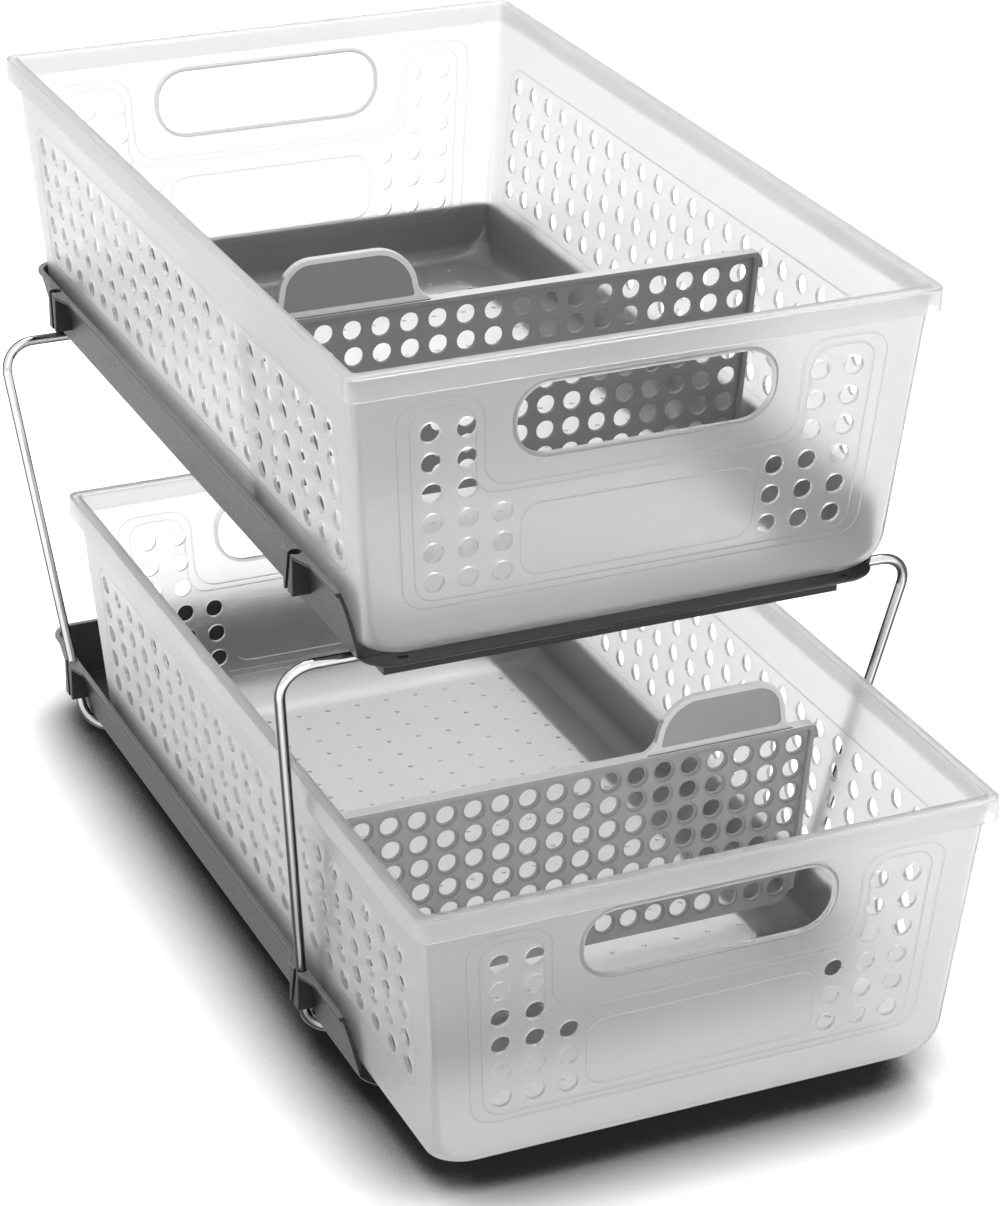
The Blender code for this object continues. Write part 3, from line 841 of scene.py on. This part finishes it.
def add_channels(item):
    """The two ribs under the tray that the wire frames' top bars lie in."""
    for wire_y in (front_wire_y, rear_wire_y):
        y = wire_y[1]
        rib = block("channel", (-channel_half_length, y - channel_half_width, -channel_drop),
                    (channel_half_length, y + channel_half_width, (tray_underside + tray_floor_top) / 2))
        inner = channel_half_width - channel_wall
        bay = (2 * channel_half_length - channel_wall) / channel_bays
        bays = block("channel_bays",
                     (-channel_half_length + channel_wall, y - inner, -channel_drop - overrun),
                     (-channel_half_length + bay, y + inner, tray_underside))
        repeated(bays, channel_bays, (bay, 0, 0))
        slot_half = wire_radius + fit_gap
        slot = block("bar_slot", (-channel_half_length - overrun, y - slot_half, -channel_drop - overrun),
                     (channel_half_length + overrun, y + slot_half, -top_bar_drop))
        work(item, rib, "UNION")
        work(item, bays, "DIFFERENCE")
        work(item, slot, "DIFFERENCE")


def clip(wire_y):
    """One snap clip on the tray's right side: a plate over two fins with a slot."""
    y = leg_y(wire_y, (clip_low_z + tray_lip_z) / 2)
    wall_x = tray_half_width + tray_lean * (clip_low_z - tray_underside)
    plate_low = tray_lip_z - clip_plate_thickness
    root_x = tray_half_width + tray_lean * (plate_low - tray_underside)
    fins = block("clip_fins", (wall_x - tray_wall / 2, y - clip_half_width, clip_low_z),
                 (clip_reach, y + clip_half_width, plate_low + clip_plate_thickness / 2))
    round_edges(fins, clip_edge_round, 2)
    plate = block("clip_plate", (root_x, y - clip_plate_half_length, plate_low),
                  (clip_reach, y + clip_plate_half_length, tray_lip_z))
    open_mesh(plate)
    pick("FACE", lambda face: face.normal.x > 0.9)
    bpy.ops.transform.resize(value=(1, clip_half_width / clip_plate_half_length, 1),
                             center_override=(0, y, 0))
    close_mesh()
    round_edges(plate, clip_edge_round, 2)
    work(fins, plate, "UNION")
    return fins


def clip_mouth(wire_y):
    """The slot through which a leg snaps into its clip, sloped as the leg is."""
    low_z, high_z = clip_low_z - overrun, tray_lip_z + overrun
    mouth = block("clip_mouth", (0, -clip_mouth_half_width, low_z), (1, clip_mouth_half_width, high_z))
    for vert in mouth.data.vertices:
        vert.co.x = leg_x(vert.co.z) if vert.co.x < 0.5 else clip_reach + overrun
        vert.co.y += leg_y(wire_y, vert.co.z)
    return mouth


def wire_rooms():
    """Room for both wire frames, of this tier and of the one above."""
    rooms = []
    for wire_y in (front_wire_y, rear_wire_y):
        for drop in (0, tier_spacing):
            room = shape_wire("wire_room", wire_y, wire_radius + fit_gap, 3)
            room.location.z = -drop
            settle()
            rooms.append(room)
    return rooms


def shape_tray():
    """A flared tray with a lip, an open front, clips and wire channels."""
    item = tray_outside()
    for wire_y in (front_wire_y, rear_wire_y):
        work(item, mirrored(clip(wire_y), x=True), "UNION")
    work(item, tray_inside(), "DIFFERENCE")
    work(item, front_cut(), "DIFFERENCE")
    opening = rounded_sheet("floor_opening", opening_half_width, (opening_rear_y - opening_front_y) / 2,
                            tray_underside - overrun, opening_corner_radius, 8,
                            (opening_rear_y + opening_front_y) / 2)
    open_mesh(opening)
    pick("FACE", lambda face: True)
    raise_selection(0, 0, 3 * overrun)
    face_normals_out()
    close_mesh()
    work(item, opening, "DIFFERENCE")
    notch = block("ledge_notch",
                  (notch_x - notch_half_length, notch_y - notch_half_width, tray_underside - overrun),
                  (notch_x + notch_half_length, notch_y + notch_half_width, tray_floor_top + overrun))
    work(item, mirrored(notch, x=True), "DIFFERENCE")
    add_channels(item)
    for room in wire_rooms():
        work(item, room, "DIFFERENCE")
    for wire_y in (front_wire_y, rear_wire_y):
        work(item, mirrored(clip_mouth(wire_y), x=True), "DIFFERENCE")
    # Lip tops carry a painted highlight
    mark_painted_highlights(item, lambda at, normal: at.z > tray_lip_z - tray_lip_height / 2 and normal.z > 0.3)
    smooth(item)
    return item


# ------------------------------------------------------------------ finishes

grain_share = 0.7
grain_range = (0.3, 0.7)
relief_depth = 0.0001
plastic_roughness = (0.30, 0.42)
basket_roughness = (0.30, 0.40)
chrome_roughness = (0.06, 0.12)
# Painted reflection on the chrome: its brightness from where it faces the eye to where it turns away
painted_reflection_bands = ((0.26, 0.86), (0.38, 0.08), (0.62, 0.03), (0.80, 0.05), (0.92, 0.50))


def add_node(tree, kind, **settings):
    node = tree.nodes.new(kind)
    for key, value in settings.items():
        setattr(node, key, value)
    return node


def moulded_skin_group():
    """Shared surface of moulded plastic: soft cloudiness, fine grain and relief."""
    group = bpy.data.node_groups.new("moulded_skin", "ShaderNodeTree")
    for name, low in (("Cloud Scale", 12.0), ("Grain Scale", 900.0)):
        socket = group.interface.new_socket(name, in_out="INPUT", socket_type="NodeSocketFloat")
        socket.default_value = low
    for name in ("Cloud", "Grain", "Relief"):
        group.interface.new_socket(name, in_out="OUTPUT", socket_type="NodeSocketFloat")
    enter = add_node(group, "NodeGroupInput")
    leave = add_node(group, "NodeGroupOutput")
    place = add_node(group, "ShaderNodeTexCoord")
    cloud = add_node(group, "ShaderNodeTexNoise")
    cloud.inputs["Detail"].default_value = 3.0
    grain = add_node(group, "ShaderNodeTexNoise")
    grain.inputs["Detail"].default_value = 2.0
    mix = add_node(group, "ShaderNodeMath", operation="MULTIPLY_ADD")
    mix.inputs[1].default_value = grain_share
    links = group.links
    for noise, scale in ((cloud, "Cloud Scale"), (grain, "Grain Scale")):
        links.new(place.outputs["Object"], noise.inputs["Vector"])
        links.new(enter.outputs[scale], noise.inputs["Scale"])
    links.new(grain.outputs["Fac"], mix.inputs[0])
    links.new(cloud.outputs["Fac"], mix.inputs[2])
    links.new(cloud.outputs["Fac"], leave.inputs["Cloud"])
    links.new(grain.outputs["Fac"], leave.inputs["Grain"])
    links.new(mix.outputs["Value"], leave.inputs["Relief"])
    return group


def ramp(tree, source, low, high, low_value, high_value):
    """A value that runs from low_value to high_value as source goes from low to high."""
    node = add_node(tree, "ShaderNodeMapRange")
    values = {"From Min": low, "From Max": high, "To Min": low_value, "To Max": high_value}
    for socket, value in values.items():
        node.inputs[socket].default_value = value
    tree.links.new(source, node.inputs["Value"])
    return node.outputs["Result"]


def plastic(name, dark, light, roughness, grain_scale, relief, **fixed):
    """A moulded plastic: colour between two shades, roughness between two values."""
    material = bpy.data.materials.new(name)
    material.use_nodes = True
    tree = material.node_tree
    shader = tree.nodes["Principled BSDF"]
    skin = add_node(tree, "ShaderNodeGroup", node_tree=moulded_skin)
    skin.inputs["Cloud Scale"].default_value = 14.0
    skin.inputs["Grain Scale"].default_value = grain_scale
    shade = add_node(tree, "ShaderNodeMix", data_type="RGBA")
    shade.inputs["A"].default_value = (*dark, 1)
    shade.inputs["B"].default_value = (*light, 1)
    tree.links.new(skin.outputs["Cloud"], shade.inputs["Factor"])
    tree.links.new(shade.outputs["Result"], shader.inputs["Base Color"])
    tree.links.new(ramp(tree, skin.outputs["Grain"], *grain_range, *roughness), shader.inputs["Roughness"])
    bump = add_node(tree, "ShaderNodeBump")
    bump.inputs["Strength"].default_value = relief
    bump.inputs["Distance"].default_value = relief_depth
    tree.links.new(skin.outputs["Relief"], bump.inputs["Height"])
    tree.links.new(bump.outputs["Normal"], shader.inputs["Normal"])
    for socket, value in fixed.items():
        shader.inputs[socket.replace("_", " ")].default_value = value
    return material


def paint_light_and_shade(material, mark, level):
    """Paint the moulding's marked points or faces with a grey of their own: a painted highlight where it is
    lighter, painted shade where it is darker.
    """
    tree = material.node_tree
    shader = tree.nodes["Principled BSDF"]
    base = shader.inputs["Base Color"].links[0].from_socket
    marked = add_node(tree, "ShaderNodeAttribute", attribute_name=mark)
    painted_mix = add_node(tree, "ShaderNodeMix", data_type="RGBA")
    painted_mix.inputs["B"].default_value = (level, level, level, 1)
    tree.links.new(marked.outputs["Fac"], painted_mix.inputs["Factor"])
    tree.links.new(base, painted_mix.inputs["A"])
    tree.links.new(painted_mix.outputs["Result"], shader.inputs["Base Color"])


def chrome(name):
    """Bright plated wire whose dark edge lines are a painted reflection, a ramp on the viewing angle
    standing in for what a round wire shows in a white studio.
    """
    material = bpy.data.materials.new(name)
    material.use_nodes = True
    tree = material.node_tree
    shader = tree.nodes["Principled BSDF"]
    skin = add_node(tree, "ShaderNodeGroup", node_tree=moulded_skin)
    skin.inputs["Cloud Scale"].default_value = 30.0
    skin.inputs["Grain Scale"].default_value = 600.0
    # Painted reflection: dark bands by viewing angle
    facing = add_node(tree, "ShaderNodeLayerWeight")
    painted_reflection = add_node(tree, "ShaderNodeValToRGB")
    ramp_stops = painted_reflection.color_ramp.elements
    ramp_stops[0].position, ramp_stops[0].color = 0.0, (0.92, 0.92, 0.93, 1)
    ramp_stops[1].position, ramp_stops[1].color = 1.0, (0.70, 0.70, 0.71, 1)
    for position, level in painted_reflection_bands:
        ramp_stops.new(position).color = (level, level, level * 1.01, 1)
    tree.links.new(facing.outputs["Facing"], painted_reflection.inputs["Fac"])
    shade = add_node(tree, "ShaderNodeMix", data_type="RGBA", blend_type="MULTIPLY")
    shade.inputs["Factor"].default_value = 0.25
    tree.links.new(painted_reflection.outputs["Color"], shade.inputs["A"])
    tree.links.new(skin.outputs["Cloud"], shade.inputs["B"])
    tree.links.new(shade.outputs["Result"], shader.inputs["Base Color"])
    tree.links.new(ramp(tree, skin.outputs["Grain"], *grain_range, *chrome_roughness),
                   shader.inputs["Roughness"])
    shader.inputs["Metallic"].default_value = 1.0
    return material


def dress(item, material, slot, body, *nodes):
    """Give a finished piece its material and its body, and hide the CAD nodes it stands for."""
    item.data.materials.clear()
    item.data.materials.append(material)
    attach(item, body)
    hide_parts(*nodes)


moulded_skin = moulded_skin_group()
tray_plastic = plastic("tray_plastic", (0.019, 0.019, 0.020), (0.027, 0.027, 0.028), plastic_roughness,
                       900.0, 0.10, Specular_IOR_Level=0.3)
upper_divider_plastic = plastic("upper_divider_plastic", (0.16, 0.16, 0.161), (0.19, 0.19, 0.191),
                                plastic_roughness, 900.0, 0.08)
lower_divider_plastic = plastic("lower_divider_plastic", (0.32, 0.32, 0.321), (0.38, 0.38, 0.381),
                                plastic_roughness, 900.0, 0.08)
basket_plastic = plastic("basket_plastic", (0.950, 0.950, 0.950), (0.970, 0.970, 0.970), basket_roughness,
                         500.0, 0.10, Transmission_Weight=0.93, IOR=1.42, Coat_Weight=0.3,
                         Coat_Roughness=0.05)
# Painted shade on the baskets' raised lines
paint_light_and_shade(basket_plastic, "ridge_shade", 0.58)
# Painted highlights on the trays' lip tops and the dividers' flange tops and tab rims
paint_light_and_shade(tray_plastic, "edge", 0.20)
paint_light_and_shade(upper_divider_plastic, "edge", 0.55)
paint_light_and_shade(lower_divider_plastic, "edge", 0.70)
wire_chrome = chrome("wire_chrome")

# ------------------------------------------------------------------- pieces

wires = (("front_wire", "front_wire_frame", front_wire_y), ("rear_wire", "rear_wire_frame", rear_wire_y))
for name, node, wire_y in wires:
    wire = standing_wire(name, wire_y)
    wire.location = (0, closed_y, lower_tier_z)
    take(wire)
    settle()
    dress(wire, wire_chrome, "wire_chrome", "stand", node)

tray, basket, divider = shape_tray(), shape_basket(), shape_divider()
for tier, tier_z, pull, turn, divider_plastic in (
        ("lower", lower_tier_z, lower_pull, 0.0, lower_divider_plastic),
        ("upper", upper_tier_z, 0.0, math.pi, upper_divider_plastic)):
    basket_y = closed_y - pull
    dress(placed(tray, f"{tier}_tray_moulding", (0, closed_y, tier_z)),
          tray_plastic, "tray_plastic", "stand", f"{tier}_tray")
    dress(placed(basket, f"{tier}_basket_moulding", (0, basket_y, tier_z)),
          basket_plastic, "basket_plastic", f"{tier}_basket_body", f"{tier}_basket")
    dress(placed(divider, f"{tier}_divider_moulding", (0, basket_y + divider_y, tier_z), turn),
          divider_plastic, f"{tier}_divider_plastic", f"{tier}_divider_body", f"{tier}_divider")
for pattern in (tray, basket, divider):
    bpy.data.objects.remove(pattern, do_unlink=True)

# ------------------------------------------------------ floor, light, camera

take()
bpy.ops.mesh.primitive_plane_add(size=40)
floor = named("floor")
floor_white = bpy.data.materials.new("floor_white")
floor_white.use_nodes = True
tree = floor_white.node_tree
floor_shader = tree.nodes["Principled BSDF"]
# Painted contact shadow: the AO node darkens the floor's colour near the object
near_object = add_node(tree, "ShaderNodeAmbientOcclusion")
near_object.inputs["Distance"].default_value = contact_shadow_reach
openness = near_object.outputs["AO"]
contact = ramp(tree, openness, *contact_openness, *floor_shades)
tree.links.new(contact, floor_shader.inputs["Base Color"])
floor_shader.inputs["Roughness"].default_value = 0.9
floor_shader.inputs["Specular IOR Level"].default_value = 0.2
floor_shader.inputs["Emission Color"].default_value = (1, 1, 1, 1)
path = add_node(tree, "ShaderNodeLightPath")
seen_through = add_node(tree, "ShaderNodeMath", operation="MAXIMUM")
lit = add_node(tree, "ShaderNodeMath", operation="MULTIPLY")
lit.inputs[1].default_value = floor_glow
tree.links.new(contact, lit.inputs[0])
glow = add_node(tree, "ShaderNodeMath", operation="MULTIPLY")
# Painted light: rays through the plastic and glossy rays see the floor glow, more strongly where it lies in
# shade
glow_through = add_node(tree, "ShaderNodeMath", operation="MULTIPLY_ADD")
tree.links.new(ramp(tree, openness, *contact_openness, *floor_glow_through), glow_through.inputs[1])
tree.links.new(lit.outputs["Value"], glow.inputs[1])
tree.links.new(path.outputs["Is Camera Ray"], glow.inputs[0])
tree.links.new(path.outputs["Is Transmission Ray"], seen_through.inputs[0])
tree.links.new(path.outputs["Is Glossy Ray"], seen_through.inputs[1])
tree.links.new(seen_through.outputs["Value"], glow_through.inputs[0])
tree.links.new(glow.outputs["Value"], glow_through.inputs[2])
tree.links.new(glow_through.outputs["Value"], floor_shader.inputs["Emission Strength"])
floor.data.materials.append(floor_white)

world = bpy.data.worlds.new("studio")
bpy.context.scene.world = world
world.use_nodes = True
tree = world.node_tree
backdrop = tree.nodes["Background"]
backdrop.inputs["Color"].default_value = (1, 1, 1, 1)
path = add_node(tree, "ShaderNodeLightPath")
seen = add_node(tree, "ShaderNodeMath", operation="MAXIMUM")
seen_through = add_node(tree, "ShaderNodeMath", operation="MAXIMUM")
level = add_node(tree, "ShaderNodeMapRange")
level.inputs["To Min"].default_value = world_light
level.inputs["To Max"].default_value = 1.0
tree.links.new(path.outputs["Is Camera Ray"], seen.inputs[0])
dimmed = add_node(tree, "ShaderNodeMath", operation="MULTIPLY")
dimmed.inputs[1].default_value = through_plastic_share
tree.links.new(path.outputs["Is Transmission Ray"], dimmed.inputs[0])
tree.links.new(dimmed.outputs["Value"], seen.inputs[1])
tree.links.new(seen.outputs["Value"], seen_through.inputs[0])
tree.links.new(path.outputs["Is Glossy Ray"], seen_through.inputs[1])
tree.links.new(seen_through.outputs["Value"], level.inputs["Value"])
tree.links.new(level.outputs["Result"], backdrop.inputs["Strength"])


def softbox(name, place, size, power):
    """A square lamp aimed at the object's middle."""
    take()
    bpy.ops.object.light_add(type="AREA", location=place)
    lamp = named(name)
    lamp.rotation_euler = (Vector(light_aim) - Vector(place)).to_track_quat("-Z", "Y").to_euler()
    lamp.data.shape = "SQUARE"
    lamp.data.size = size
    lamp.data.energy = power


for name, (place, size, power) in softboxes.items():
    softbox(name, place, size, power)

take()
bpy.ops.object.camera_add()
camera = named("photo_camera")
camera.matrix_world = Matrix((
    (0.9144, 0.1661, -0.3692, -0.56776),
    (-0.4047, 0.4020, -0.8214, -1.29980),
    (0.0120, 0.9005, 0.4347, 0.82131),
    (0, 0, 0, 1)))
camera.data.sensor_width = sensor_width
camera.data.lens = focal_length * sensor_width / photo_height
camera.data.clip_start = 0.05
camera.data.clip_end = 60
bpy.context.scene.camera = camera
bpy.context.scene.view_settings.view_transform = "Standard"
